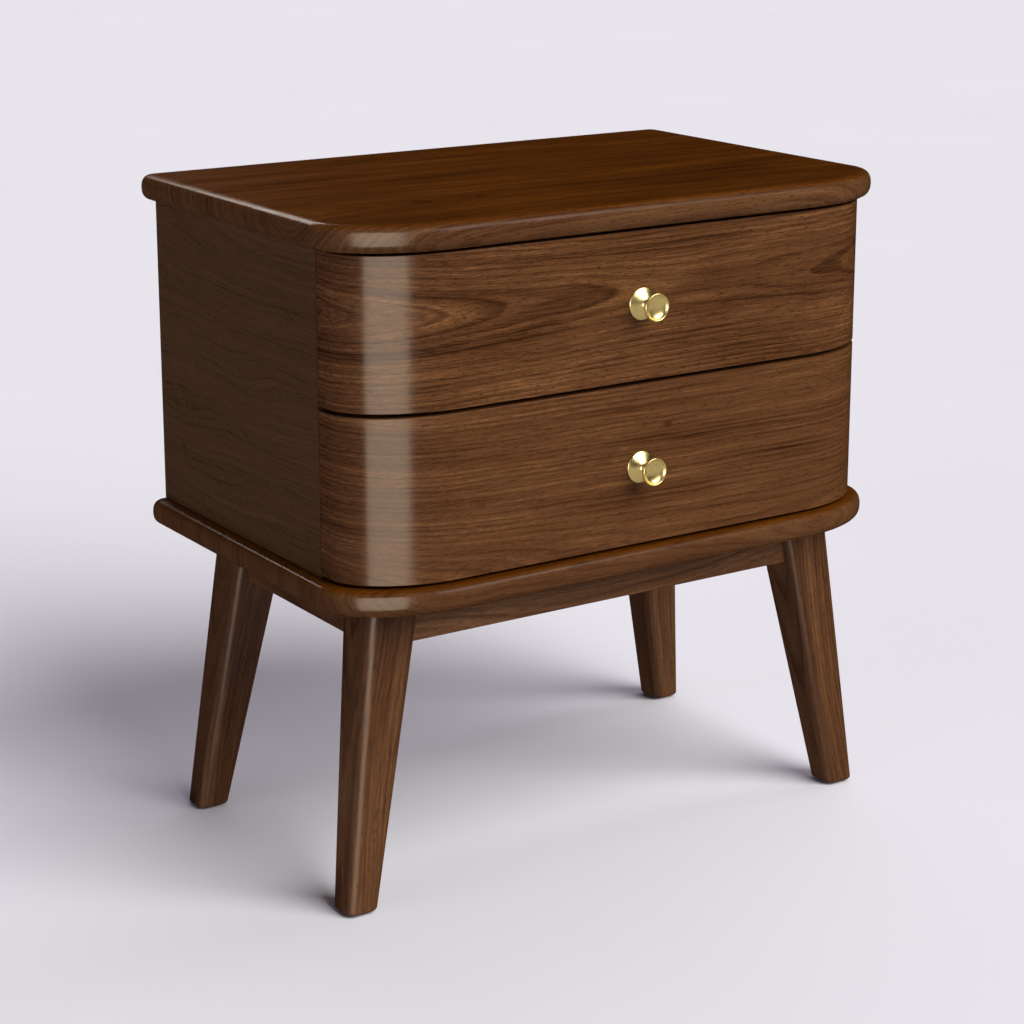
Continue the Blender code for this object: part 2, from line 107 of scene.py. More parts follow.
class NightstandSizes(bpy.types.PropertyGroup):
    """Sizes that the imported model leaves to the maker."""

    board_corner_across: bpy.props.FloatProperty(
        name="Board corner across",
        description="Width of the quarter ellipse at the front corners of the boards",
        default=0.112,
        unit="LENGTH",
    )
    board_corner_deep: bpy.props.FloatProperty(
        name="Board corner deep",
        description="Depth of the quarter ellipse at the front corners of the boards",
        default=0.0705,
        unit="LENGTH",
    )
    board_rear_radius: bpy.props.FloatProperty(
        name="Board rear radius",
        description="Radius of the rear corners of the boards",
        default=0.0145,
        unit="LENGTH",
    )
    front_corner_across: bpy.props.FloatProperty(
        name="Front corner across",
        description="Width of the quarter ellipse that the drawer fronts are bent to",
        default=0.097,
        unit="LENGTH",
    )
    front_corner_deep: bpy.props.FloatProperty(
        name="Front corner deep",
        description="Depth of the quarter ellipse that the drawer fronts are bent to",
        default=0.0625,
        unit="LENGTH",
    )
    front_thickness: bpy.props.FloatProperty(
        name="Front thickness",
        description="Thickness of the bent drawer fronts",
        default=0.018,
        unit="LENGTH",
    )
    leg_edge_radius: bpy.props.FloatProperty(
        name="Leg edge radius",
        description="Rounding of the four long edges of a leg",
        default=0.009,
        unit="LENGTH",
    )
    eased_edge: bpy.props.FloatProperty(
        name="Eased edge",
        description="Rounding of the lacquered edges of fronts, side panels and aprons",
        default=0.0009,
        unit="LENGTH",
    )
    sanded_edge: bpy.props.FloatProperty(
        name="Sanded edge",
        description="Rounding that sanding leaves on the sawn edges inside",
        default=0.001,
        unit="LENGTH",
    )


class NightstandFinishes(bpy.types.PropertyGroup):
    """Colours and gloss of the finishes, as sRGB."""

    lacquer_roughness: bpy.props.FloatProperty(
        name="Lacquer roughness",
        description="Roughness of the lacquer on boards, fronts and side panels; 0 is a mirror",
        default=0.2,
        min=0.05,
        max=1.0,
        subtype="FACTOR",
    )
    leg_roughness: bpy.props.FloatProperty(
        name="Leg roughness",
        description="Roughness of the thinner lacquer on legs and aprons",
        default=0.36,
        min=0.05,
        max=1.0,
        subtype="FACTOR",
    )
    brass: bpy.props.FloatVectorProperty(
        name="Brass",
        description="Colour of the satin brass knobs",
        default=(0.871, 0.776, 0.522),
        subtype="COLOR_GAMMA",
        size=3,
        min=0.0,
        max=1.0,
    )
    brass_roughness: bpy.props.FloatProperty(
        name="Brass roughness",
        description="Roughness of the fine turned and brushed brass",
        default=0.3,
        min=0.05,
        max=1.0,
        subtype="FACTOR",
    )
    birch: bpy.props.FloatVectorProperty(
        name="Birch",
        description="Colour of the lighter grain of the sealed birch inside",
        default=(0.81, 0.68, 0.50),
        subtype="COLOR_GAMMA",
        size=3,
        min=0.0,
        max=1.0,
    )
    zinc: bpy.props.FloatVectorProperty(
        name="Zinc",
        description="Colour of the bright zinc plating on slides, bolts and screws",
        default=(0.73, 0.74, 0.76),
        subtype="COLOR_GAMMA",
        size=3,
        min=0.0,
        max=1.0,
    )


def linear(colour, scale=1.0):
    """An sRGB colour, as hex or as red, green and blue from 0 to 1, in linear light and with alpha."""
    if isinstance(colour, str):
        colour = [int(colour[start : start + 2], 16) / 255 for start in (0, 2, 4)]
    made = [value / 12.92 if value <= 0.04045 else ((value + 0.055) / 1.055) ** 2.4 for value in colour]
    return (*(min(value * scale, 1.0) for value in made), 1.0)


# ---------------------------------------------------------------- modelling helpers


def begin():
    """Leave edit mode and deselect everything, so that an operator acts only on what comes next."""
    if bpy.context.mode != "OBJECT":
        bpy.ops.object.mode_set(mode="OBJECT")
    bpy.ops.object.select_all(action="DESELECT")


def activate(piece):
    """Make one object the only selected and active one."""
    begin()
    piece.select_set(True)
    bpy.context.view_layer.objects.active = piece


def block(name, low, high):
    """A block between two corners, its place in its mesh, ready to be shaped in edit mode."""
    begin()
    low = Vector(low)
    high = Vector(high)
    bpy.ops.mesh.primitive_cube_add(size=1, location=(low + high) / 2, scale=high - low)
    piece = bpy.context.object
    piece.name = name
    bpy.ops.object.transform_apply(location=True, rotation=True, scale=True)
    bpy.ops.object.mode_set(mode="EDIT")
    bpy.ops.mesh.select_all(action="DESELECT")
    return piece


def pick(piece, kind, test):
    """In edit mode, select only the vertices, edges or faces that pass a test on their corners."""
    bpy.ops.mesh.select_mode(type=kind)
    bpy.ops.mesh.select_all(action="DESELECT")
    shape = bmesh.from_edit_mesh(piece.data)
    items = {"VERT": shape.verts, "EDGE": shape.edges, "FACE": shape.faces}[kind]
    for item in items:
        corners = [item.co] if kind == "VERT" else [corner.co for corner in item.verts]
        item.select_set(test(corners))
    bmesh.update_edit_mesh(piece.data)


def near(corners, axis, value):
    """True if all the corners lie at one value of x, y or z."""
    return all(abs(corner[axis] - value) < 0.00002 for corner in corners)


def upright(corners):
    """True for an edge along Z."""
    return (corners[0].xy - corners[1].xy).length < 0.00002


def bevel(width, segments, profile=0.5):
    """Round the selected edges; a profile above 0.5 keeps more of a square edge."""
    bpy.ops.mesh.bevel(
        offset=width, segments=segments, profile=profile, affect="EDGES", clamp_overlap=False
    )


def apply_modifier(piece, kind, **settings):
    """Add a modifier with its settings and apply it."""
    activate(piece)
    modifier = piece.modifiers.new(kind.lower(), kind)
    for setting, value in settings.items():
        setattr(modifier, setting, value)
    bpy.ops.object.modifier_apply(modifier=modifier.name)


def eased_copy(name, width):
    """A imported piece's shape in a mesh of its own: merged, its flats made whole and its edges eased."""
    begin()
    piece = bpy.data.objects.new(name + "_finished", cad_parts[name].data.copy())
    bpy.context.scene.collection.objects.link(piece)
    activate(piece)
    bpy.ops.mesh.customdata_custom_splitnormals_clear()
    bpy.ops.object.mode_set(mode="EDIT")
    bpy.ops.mesh.select_all(action="SELECT")
    bpy.ops.mesh.remove_doubles(threshold=0.00001)
    bpy.ops.mesh.dissolve_limited(angle_limit=math.radians(0.5))
    apply_modifier(
        piece,
        "BEVEL",
        width=width,
        segments=2,
        limit_method="ANGLE",
        angle_limit=math.radians(50),
    )
    return piece


def drill(piece, place, direction, radius, length):
    """A round hole from a place along a direction."""
    begin()
    direction = Vector(direction).normalized()
    middle = Vector(place) + direction * length / 2
    turn = direction.to_track_quat("Z", "Y").to_euler()
    bpy.ops.mesh.primitive_cylinder_add(vertices=24, radius=radius, depth=length, location=middle, rotation=turn)
    cutter = bpy.context.object
    apply_modifier(piece, "BOOLEAN", operation="DIFFERENCE", solver="EXACT", object=cutter)
    bpy.data.objects.remove(cutter, do_unlink=True)


def turned(name, place, axis, rings, sides):
    """Turned on a lathe: a circle is drawn out and resized ring by ring, (radius, distance) along an axis."""
    begin()
    axis = Vector(axis).normalized()
    place = Vector(place)
    turn = axis.to_track_quat("Z", "Y").to_euler()
    radius, along = rings[0]
    bpy.ops.mesh.primitive_circle_add(
        vertices=sides, radius=radius, fill_type="NOTHING", location=place + axis * along, rotation=turn
    )
    piece = bpy.context.object
    piece.name = name
    bpy.ops.object.transform_apply(location=True, rotation=True, scale=True)
    bpy.ops.object.mode_set(mode="EDIT")
    bpy.ops.mesh.select_mode(type="EDGE")
    bpy.ops.mesh.select_all(action="SELECT")
    for next_radius, next_along in rings[1:]:
        step = axis * (next_along - along)
        bpy.ops.mesh.extrude_region_move(TRANSFORM_OT_translate={"value": step})
        scale = next_radius / radius
        centre = place + axis * next_along
        bpy.ops.transform.resize(value=(scale, scale, scale), center_override=centre)
        radius, along = next_radius, next_along
    bpy.ops.mesh.select_all(action="DESELECT")
    bpy.ops.mesh.select_non_manifold()
    bpy.ops.mesh.edge_face_add()
    bpy.ops.mesh.select_non_manifold()
    return piece


def finished(piece, body, slot, material, *nodes, angle=35):
    """Close a piece: outward normals, smooth shading, its finish, its body and the CAD nodes it stands for."""
    activate(piece)
    bpy.ops.object.transform_apply(location=True, rotation=True, scale=True)
    bpy.ops.object.mode_set(mode="EDIT")
    bpy.ops.mesh.select_mode(type="FACE")
    bpy.ops.mesh.select_all(action="SELECT")
    bpy.ops.mesh.remove_doubles(threshold=0.000002)
    bpy.ops.mesh.normals_make_consistent(inside=False)
    bpy.ops.object.mode_set(mode="OBJECT")
    bpy.ops.object.shade_smooth_by_angle(angle=math.radians(angle))
    apply_modifier(piece, "WEIGHTED_NORMAL", keep_sharp=True, weight=80)
    piece.data.materials.clear()
    piece.data.materials.append(material)
    bpy.data.collections["all_parts"].objects.link(piece)
    if slot in ("brass", "steel"):
        bpy.data.collections["metal_parts"].objects.link(piece)
    if slot == "walnut" and "panel" not in piece.name:
        bpy.data.collections["glossy_parts"].objects.link(piece)
    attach(piece, body)
    if nodes:
        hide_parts(*nodes)
    return piece


def mark_grain(piece, place_of):
    """Write each point's place in its board: along the grain, across it, and into the wood."""
    begin()
    places = piece.data.attributes.new("grain", "FLOAT_VECTOR", "POINT")
    for index, point in enumerate(piece.data.vertices):
        places.data[index].vector = place_of(point.co)


# ---------------------------------------------------------------- finishes


def add_node(tree, kind, settings=None, inputs=None, stops=None):
    """Add a shader node, set it up, and give its inputs their values or link them to other nodes."""
    made = tree.nodes.new("ShaderNode" + kind)
    for setting, value in (settings or {}).items():
        setattr(made, setting, value)
    for key, value in (inputs or {}).items():
        if isinstance(value, bpy.types.NodeSocket):
            tree.links.new(value, made.inputs[key])
        else:
            made.inputs[key].default_value = value
    if stops:
        elements = made.color_ramp.elements
        while len(elements) > 1:
            elements.remove(elements[-1])
        for index, (position, colour) in enumerate(stops):
            element = elements[0] if index == 0 else elements.new(position)
            element.position = position
            element.color = colour
    return made


def new_material(name):
    """An empty material with its output; returns the material and its node tree."""
    material = bpy.data.materials.new(name)
    material.use_nodes = True
    material.node_tree.nodes.clear()
    return material, material.node_tree


def grey(value):
    """A stop of a ramp that carries a number."""
    return (value, value, value, 1.0)


def walnut(name, cut):
    """American walnut, sliced or sawn, sanded and sprayed with a clear satin lacquer.

    The growth rings are cylinders round the heart of the log. A cut close to the heart shows them
    as long arches, a cut far from it as straight lines. Fibres and pores follow the rings as fine
    streaks and short dark dashes, and the lacquer gives one smooth, clear gloss over all of it.
    """
    material, tree = new_material(name)
    place = add_node(tree, "Attribute", {"attribute_name": "grain"}).outputs["Vector"]
    shift = cut.get("shift", (0, 0, 0))
    place = add_node(tree, "Mapping", None, {"Vector": place, "Location": shift}).outputs[0]

    # The trunk wanders: waves 300 mm long and 80 mm wide bend the rings by a centimetre or two
    slow = add_node(tree, "VectorMath", {"operation": "MULTIPLY"}, {0: place, 1: (3.2, 12.0, 12.0)})
    wander = add_node(tree, "TexNoise", None, {"Vector": slow.outputs[0], "Scale": 1.0, "Detail": 1.0})
    # and ripples 70 mm long and 18 mm wide make each ring wavy
    quick = add_node(tree, "VectorMath", {"operation": "MULTIPLY"}, {0: place, 1: (14.0, 55.0, 55.0)})
    ripple = add_node(tree, "TexNoise", None, {"Vector": quick.outputs[0], "Scale": 1.0, "Detail": 2.0})
    sway = cut.get("sway", 0.016)
    wave = cut.get("wave", 0.0035)
    bend = add_node(
        tree,
        "VectorMath",
        {"operation": "MULTIPLY_ADD"},
        {0: wander.outputs["Color"], 1: (0.0, sway, sway), 2: place},
    )
    bend = add_node(
        tree,
        "VectorMath",
        {"operation": "MULTIPLY_ADD"},
        {0: ripple.outputs["Color"], 1: (0.0, wave, wave), 2: bend.outputs[0]},
    )
    middle_shift = (sway + wave) / 2
    parts = add_node(tree, "SeparateXYZ", None, {0: bend.outputs[0]})
    along, across, deep = parts.outputs

    # Depth of the heart under the face: deepest at one place along the board, less towards the ends
    from_middle = add_node(tree, "Math", {"operation": "SUBTRACT"}, {0: along, 1: shift[0] + cut.get("middle", 0.0)})
    squared = add_node(
        tree, "Math", {"operation": "MULTIPLY"}, {0: from_middle.outputs[0], 1: from_middle.outputs[0]}
    )
    fall = add_node(
        tree,
        "Math",
        {"operation": "MULTIPLY_ADD"},
        {0: squared.outputs[0], 1: -cut.get("fall", 0.3), 2: cut.get("depth", 0.06) - middle_shift},
    )
    depth = add_node(tree, "Math", {"operation": "ADD"}, {0: deep, 1: fall.outputs[0]})
    tilt = add_node(
        tree,
        "Math",
        {"operation": "MULTIPLY_ADD"},
        {0: along, 1: -cut.get("tilt", 0.0), 2: -cut.get("heart", 0.0) - middle_shift},
    )
    off = add_node(tree, "Math", {"operation": "ADD"}, {0: across, 1: tilt.outputs[0]})
    spoke = add_node(tree, "CombineXYZ", None, {0: off.outputs[0], 1: depth.outputs[0]})
    radius = add_node(tree, "VectorMath", {"operation": "LENGTH"}, {0: spoke.outputs[0]}).outputs["Value"]
    flow = add_node(tree, "CombineXYZ", None, {0: along, 1: radius, 2: off.outputs[0]}).outputs[0]
    straight = add_node(tree, "CombineXYZ", None, {0: along, 1: off.outputs[0], 2: depth.outputs[0]}).outputs[0]

    # Bands of early and late wood 3.5 mm wide, with finer and finer streaks inside them
    size = cut.get("size", 1.0)
    stretch = add_node(
        tree, "VectorMath", {"operation": "MULTIPLY"}, {0: flow, 1: (2.6, 290.0 * size, 12.0)}
    )
    band = add_node(
        tree,
        "TexNoise",
        None,
        {"Vector": stretch.outputs[0], "Scale": 1.0, "Detail": 4.0, "Roughness": 0.68},
    )
    # Thin dark lines where a year's growth ends, 4 mm apart and broken here and there
    turns = add_node(
        tree, "Math", {"operation": "MULTIPLY_ADD"}, {0: radius, 1: 240.0 * size, 2: band.outputs[0]}
    )
    year = add_node(tree, "Math", {"operation": "FRACT"}, {0: turns.outputs[0]})
    late = add_node(
        tree,
        "ValToRGB",
        None,
        {0: year.outputs[0]},
        [(0.0, grey(0.5)), (0.10, grey(0.0)), (0.60, grey(0.05)), (0.93, grey(1.0)), (1.0, grey(0.5))],
    )
    # Fibres 70 mm long, drawn 1.2 mm wide so that they show
    fine = add_node(tree, "VectorMath", {"operation": "MULTIPLY"}, {0: straight, 1: (14.0, 800.0, 800.0)})
    fibre = add_node(
        tree, "TexNoise", None, {"Vector": fine.outputs[0], "Scale": 1.0, "Detail": 3.0, "Roughness": 0.6}
    )
    # Broad drifts of colour 200 mm long and 35 mm wide
    broad = add_node(tree, "VectorMath", {"operation": "MULTIPLY"}, {0: flow, 1: (5.0, 42.0, 14.0)})
    drift = add_node(tree, "TexNoise", None, {"Vector": broad.outputs[0], "Scale": 1.0, "Detail": 2.0})
    # Pores: dashes 9 mm long. Real ones are 0.2 mm wide, and are drawn 0.8 mm wide so that they show
    thin = add_node(tree, "VectorMath", {"operation": "MULTIPLY"}, {0: straight, 1: (130.0, 1250.0, 1250.0)})
    dash = add_node(tree, "TexNoise", None, {"Vector": thin.outputs[0], "Scale": 1.0, "Detail": 1.0})
    pore = add_node(
        tree,
        "MapRange",
        None,
        {"Value": dash.outputs[0], "From Min": 0.59, "From Max": 0.70, "To Min": 0.0, "To Max": 1.0},
    )

    # Pin knots 3 to 5 mm across, one in every 120 mm or so
    spread = add_node(tree, "VectorMath", {"operation": "MULTIPLY"}, {0: straight, 1: (5.0, 9.0, 9.0)})
    cell = add_node(tree, "TexVoronoi", {"voronoi_dimensions": "3D"}, {"Vector": spread.outputs[0], "Scale": 1.0})
    knot = add_node(
        tree,
        "MapRange",
        {"interpolation_type": "SMOOTHSTEP"},
        {"Value": cell.outputs["Distance"], "From Min": 0.012, "From Max": 0.045, "To Min": 1.0, "To Max": 0.0},
    )

    contrast = cut.get("contrast", 1.0)
    # Tone runs from 0, dark, to 1, light; each pattern adds its share round the middle
    tone = None
    start = cut.get("tone", 0.5)
    for value, share in (
        (band.outputs[0], 1.45),
        (fibre.outputs[0], 1.05),
        (drift.outputs[0], 0.80),
    ):
        start -= share * contrast * 0.5
        added = {0: value, 1: share * contrast, 2: tone or 0.0}
        tone = add_node(tree, "Math", {"operation": "MULTIPLY_ADD"}, added).outputs[0]
    tone = add_node(
        tree, "Math", {"operation": "MULTIPLY_ADD"}, {0: late.outputs[0], 1: -0.24 * contrast, 2: tone}
    ).outputs[0]
    tone = add_node(tree, "Math", {"operation": "ADD"}, {0: tone, 1: start}).outputs[0]
    colours = cut.get("colours", FRONT_TONES)
    stops = [(position, linear(tint)) for position, tint in zip((0.0, 0.3, 0.6, 1.0), colours)]
    colour = add_node(tree, "ValToRGB", None, {0: tone}, stops).outputs[0]
    if "edge" in cut:
        # The flat face carries painted shade, a darker and redder tone than the wood's own. Over the rounded edge,
        # which starts 1 mm under the face, this gives way to the lighter tone of the wood
        under = add_node(tree, "SeparateXYZ", None, {0: place}).outputs[2]
        turned_over = add_node(
            tree,
            "MapRange",
            {"interpolation_type": "SMOOTHSTEP"},
            {"Value": under, "From Min": 0.0006, "From Max": 0.0042, "To Min": 0.0, "To Max": 1.0},
        )
        stops = [(position, linear(tint)) for position, tint in zip((0.0, 0.3, 0.6, 1.0), cut["edge"])]
        edge_without_painted_shade = add_node(tree, "ValToRGB", None, {0: tone}, stops)
        colour = add_node(
            tree,
            "Mix",
            {"data_type": "RGBA"},
            {0: turned_over.outputs[0], 6: colour, 7: edge_without_painted_shade.outputs[0]},
        ).outputs[2]
    spots = add_node(tree, "Math", {"operation": "MAXIMUM"}, {0: pore.outputs[0], 1: knot.outputs[0]})
    amount = add_node(tree, "Math", {"operation": "MULTIPLY"}, {0: spots.outputs[0], 1: 0.85 * contrast})
    stained = add_node(
        tree,
        "Mix",
        {"data_type": "RGBA"},
        {0: amount.outputs[0], 6: colour, 7: linear(colours[0])},
    )

    # The lacquer fills the pores almost level, so they and the fibres only just show in the gloss
    height = add_node(
        tree, "Math", {"operation": "MULTIPLY_ADD"}, {0: pore.outputs[0], 1: -0.7, 2: fibre.outputs[0]}
    )
    relief = cut.get("relief", 0.10)
    bump = add_node(tree, "Bump", None, {"Strength": relief, "Distance": 0.0002, "Height": height.outputs[0]})
    gloss = cut.get("gloss", bpy.context.scene.nightstand_finishes.lacquer_roughness)
    roughness = add_node(
        tree,
        "MapRange",
        None,
        {"Value": drift.outputs[0], "From Min": 0.3, "From Max": 0.7, "To Min": gloss - 0.03, "To Max": gloss + 0.04},
    )
    shader = add_node(
        tree,
        "BsdfPrincipled",
        None,
        {
            "Base Color": stained.outputs[2],
            "Roughness": roughness.outputs[0],
            "IOR": 1.5,
            "Normal": bump.outputs[0],
        },
    )
    add_node(tree, "OutputMaterial", None, {"Surface": shader.outputs[0]})
    return material


def birch(name, turn=(0, 0, 0)):
    """Birch boards, planed and sealed: pale, fine and nearly straight grain with a dull sheen."""
    material, tree = new_material(name)
    pale = bpy.context.scene.nightstand_finishes.birch
    place = add_node(tree, "TexCoord").outputs["Object"]
    place = add_node(tree, "Mapping", {"vector_type": "POINT"}, {"Vector": place, "Rotation": turn}).outputs[0]
    # Grain waves 250 mm long and 12 mm wide, with fibres 1.5 mm wide over them
    slow = add_node(tree, "VectorMath", {"operation": "MULTIPLY"}, {0: place, 1: (4.0, 80.0, 80.0)})
    wave = add_node(tree, "TexNoise", None, {"Vector": slow.outputs[0], "Scale": 1.0, "Detail": 4.0, "Distortion": 0.6})
    fine = add_node(tree, "VectorMath", {"operation": "MULTIPLY"}, {0: place, 1: (20.0, 650.0, 650.0)})
    fibre = add_node(tree, "TexNoise", None, {"Vector": fine.outputs[0], "Scale": 1.0, "Detail": 3.0})
    tone = add_node(
        tree, "Math", {"operation": "MULTIPLY_ADD"}, {0: fibre.outputs[0], 1: 0.5, 2: wave.outputs[0]}
    )
    colour = add_node(
        tree,
        "ValToRGB",
        None,
        {0: tone.outputs[0]},
        [(0.45, linear(pale, 0.74)), (0.75, linear(pale)), (1.0, linear(pale, 1.12))],
    )
    bump = add_node(tree, "Bump", None, {"Strength": 0.2, "Distance": 0.0002, "Height": fibre.outputs[0]})
    roughness = add_node(
        tree, "MapRange", None, {"Value": wave.outputs[0], "From Min": 0.3, "From Max": 0.7, "To Min": 0.45, "To Max": 0.6}
    )
    shader = add_node(
        tree,
        "BsdfPrincipled",
        None,
        {"Base Color": colour.outputs[0], "Roughness": roughness.outputs[0], "IOR": 1.5, "Normal": bump.outputs[0]},
    )
    add_node(tree, "OutputMaterial", None, {"Surface": shader.outputs[0]})
    return material


def metal(name, colour, roughness, grit=1600.0):
    """A bare or plated metal with fine marks of the brush and cloudy patches where hands have rubbed it."""
    material, tree = new_material(name)
    place = add_node(tree, "TexCoord").outputs["Object"]
    # Marks of the brush are 0.05 mm wide; they are drawn 0.6 mm wide so that they show
    marks = add_node(tree, "TexNoise", None, {"Vector": place, "Scale": grit, "Detail": 3.0})
    cloud = add_node(tree, "TexNoise", None, {"Vector": place, "Scale": 120.0, "Detail": 3.0})
    shade = add_node(
        tree,
        "ValToRGB",
        None,
        {0: cloud.outputs[0]},
        [(0.35, linear(colour)), (0.7, linear(colour, 1.12))],
    )
    bump = add_node(tree, "Bump", None, {"Strength": 0.08, "Distance": 0.00005, "Height": marks.outputs[0]})
    rough = add_node(
        tree,
        "MapRange",
        None,
        {"Value": cloud.outputs[0], "From Min": 0.3, "From Max": 0.7, "To Min": roughness - 0.04, "To Max": roughness + 0.06},
    )
    shader = add_node(
        tree,
        "BsdfPrincipled",
        None,
        {"Base Color": shade.outputs[0], "Metallic": 1.0, "Roughness": rough.outputs[0], "Normal": bump.outputs[0]},
    )
    add_node(tree, "OutputMaterial", None, {"Surface": shader.outputs[0]})
    return material


def nylon(name):
    """Black moulded nylon with the fine sparked texture of its mould: dull, hardly any gloss."""
    material, tree = new_material(name)
    place = add_node(tree, "TexCoord").outputs["Object"]
    grain = add_node(tree, "TexNoise", None, {"Vector": place, "Scale": 900.0, "Detail": 2.0})
    colour = add_node(tree, "ValToRGB", None, {0: grain.outputs[0]}, [(0.3, linear("1a1a1b")), (0.7, linear("2b2b2c"))])
    bump = add_node(tree, "Bump", None, {"Strength": 0.3, "Distance": 0.0001, "Height": grain.outputs[0]})
    shader = add_node(
        tree,
        "BsdfPrincipled",
        None,
        {"Base Color": colour.outputs[0], "Roughness": 0.6, "IOR": 1.53, "Normal": bump.outputs[0]},
    )
    add_node(tree, "OutputMaterial", None, {"Surface": shader.outputs[0]})
    return material


# ---------------------------------------------------------------- stage


class NIGHTSTAND_OT_stage(bpy.types.Operator):
    """Pale floor, soft studio lights and the camera"""

    bl_idname = "nightstand.stage"
    bl_label = "Stage"

    def execute(self, context):
        begin()
        bpy.ops.mesh.primitive_plane_add(size=24)
        floor = context.object
        floor.name = "floor"
        floor.visible_glossy = False
        material, tree = new_material("pale_floor")
        place = add_node(tree, "TexCoord").outputs["Object"]
        cloud = add_node(tree, "TexNoise", None, {"Vector": place, "Scale": 1.5, "Detail": 2.0})
        colour = add_node(
            tree, "ValToRGB", None, {0: cloud.outputs[0]}, [(0.3, linear("e8e6ea")), (0.7, linear("eae8ec"))]
        )
        shader = add_node(
            tree,
            "BsdfPrincipled",
            None,
            {"Base Color": colour.outputs[0], "Roughness": 0.9, "Specular IOR Level": 0.0},
        )
        add_node(tree, "OutputMaterial", None, {"Surface": shader.outputs[0]})
        floor.data.materials.append(material)

        world = bpy.data.worlds.new("studio")
        context.scene.world = world
        world.use_nodes = True
        tree = world.node_tree
        tree.nodes.clear()
        ray = add_node(tree, "LightPath")
        dim = add_node(tree, "Background", None, {"Color": linear("dedbe6"), "Strength": 0.004})
        pale = add_node(tree, "Background", None, {"Color": linear("eeebf2"), "Strength": 1.0})
        both = add_node(
            tree, "MixShader", None, {0: ray.outputs["Is Camera Ray"], 1: dim.outputs[0], 2: pale.outputs[0]}
        )
        add_node(tree, "OutputWorld", None, {"Surface": both.outputs[0]})

        # Which pieces a lamp is seen in
        metal_parts = bpy.data.collections.new("metal_parts")
        glossy_parts = bpy.data.collections.new("glossy_parts")
        all_parts = bpy.data.collections.new("all_parts")
        for made in (metal_parts, glossy_parts, all_parts):
            context.scene.collection.children.link(made)

        # Two far, soft lamps light everything: where they stand, in degrees round from the front
        # and above the floor, how wide they look from the piece, and how strong they are
        lamps = (
            ("key", 22, 40, 50, 3.55, "ffffff"),
            ("rear_fill", 128, 55, 60, 0.80, "f3ebfb"),
            ("side", 88, 32, 12, 0.22, "ffffff"),
            ("left_fill", -80, 10, 60, 0.66, "ece3f9"),
            ("floor_on_metal", 0, -90, 170, 1.7, "f2eee8"),
        )
        for name, around, up, width, power, colour in lamps:
            begin()
            bpy.ops.object.light_add(type="SUN")
            lamp = context.object
            lamp.name = name
            flat = math.cos(math.radians(up))
            around = math.radians(around)
            towards = Vector((math.sin(around) * flat, -math.cos(around) * flat, math.sin(math.radians(up))))
            lamp.rotation_euler = towards.to_track_quat("Z", "Y").to_euler()
            lamp.data.angle = math.radians(width)
            lamp.data.energy = power
            lamp.data.color = linear(colour)[:3]
            lamp.visible_glossy = False
            if name == "floor_on_metal":
                # The pale floor as metal would show it; the floor itself is left out of all gloss
                lamp.visible_glossy = True
                lamp.light_linking.receiver_collection = metal_parts
                lamp.light_linking.blocker_collection = all_parts
            elif name != "side":
                # Bare metal shows lamps only in its gloss, so it has a copy of each that it can see
                bpy.ops.object.duplicate(linked=False)
                context.object.name = name + "_on_metal"
                context.object.visible_glossy = True
                context.object.light_linking.receiver_collection = metal_parts

        # Soft panels that only show in the gloss of lacquer and brass: place, what each faces,
        # width, height, power, colour
        panels = (
            ("corner_glow", (-0.95, -1.35, 0.55), (-0.22, -0.14, 0.45), 1.25, 2.4, 33.0, "fff0d9"),
            ("rear_strip", (0.1, 2.2, 1.9), (-0.2, 0.0, 0.5), 1.2, 0.24, 4.6, "fff6ec"),
            ("key_glow", (0.9, -1.6, 1.9), (0.0, -0.1, 0.4), 1.0, 0.8, 3.0, "ffffff"),
            ("metal_left", (-1.6, -0.75, 0.5), (0.0, -0.19, 0.45), 1.2, 0.9, 15.0, "ffffff"),
        )
        for name, place, target, width, height, power, colour in panels:
            begin()
            bpy.ops.object.light_add(type="AREA", location=place)
            panel = context.object
            panel.name = name
            panel.rotation_euler = (Vector(target) - Vector(place)).to_track_quat("-Z", "Y").to_euler()
            panel.data.shape = "RECTANGLE"
            panel.data.size = width
            panel.data.size_y = height
            panel.data.energy = power
            panel.data.color = linear(colour)[:3]
            panel.visible_camera = False
            panel.visible_diffuse = False
            chosen = metal_parts if name.startswith("metal") else glossy_parts
            panel.light_linking.receiver_collection = chosen

        begin()
        bpy.ops.object.camera_add(location=(-1.2942, -1.9307, 0.9707))
        camera = context.object
        camera.name = "camera"
        turn = math.radians(33.5)
        down = math.radians(13.89)
        ahead = Vector((math.sin(turn) * math.cos(down), math.cos(turn) * math.cos(down), -math.sin(down)))
        camera.rotation_euler = ahead.to_track_quat("-Z", "Y").to_euler()
        camera.data.lens = 87.04
        camera.data.sensor_width = 36.0
        camera.data.shift_y = -0.10
        context.scene.camera = camera
        context.scene.view_settings.view_transform = "Standard"
        return {"FINISHED"}


# ---------------------------------------------------------------- pieces


def square_up_corner(piece, across, deep, front, segments):
    """Round the two upright front edges to a quarter ellipse: stretch, round as a circle, and squash back."""
    stretch = across / deep
    bpy.ops.mesh.select_all(action="SELECT")
    bpy.ops.transform.resize(value=(1, stretch, 1), center_override=(0, front, 0))
    pick(piece, "EDGE", lambda c: upright(c) and near(c, 1, front))
    bevel(across, segments)
    bpy.ops.mesh.select_all(action="SELECT")
    bpy.ops.transform.resize(value=(1, 1 / stretch, 1), center_override=(0, front, 0))


